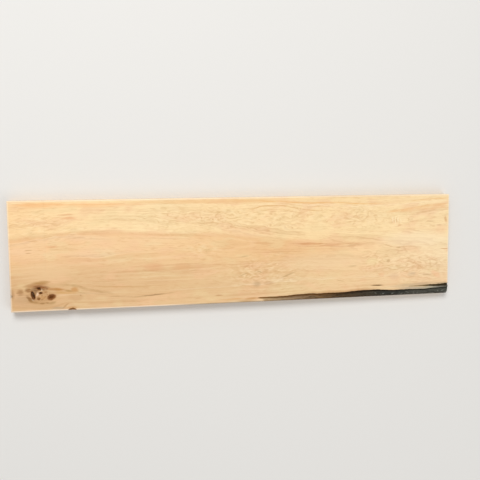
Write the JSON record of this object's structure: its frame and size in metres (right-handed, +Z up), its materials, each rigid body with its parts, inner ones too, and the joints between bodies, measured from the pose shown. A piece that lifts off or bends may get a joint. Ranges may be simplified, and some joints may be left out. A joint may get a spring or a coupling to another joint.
{
  "type": "timber lumber plank",
  "caption": "Thick sawn hardwood plank of pale figured wood with eased edges, a bark-dark wane along part of a lower long edge and a small group of knot pits near an end.",
  "frame": {"origin": "middle of the underside, which is the middle of the bottom of the bounding box", "axes": "+X along the plank towards the end with the wane, +Y across it towards the long side that is sawn full, +Z up out of the figured face"},
  "size_m": [1.9, 0.45, 0.05],
  "materials": {
    "timber": "planed bare wood, unfinished, with dark weathered bark on the wane"
  },
  "bodies": {
    "root": {"plank": "timber"}
  },
  "joints": []
}
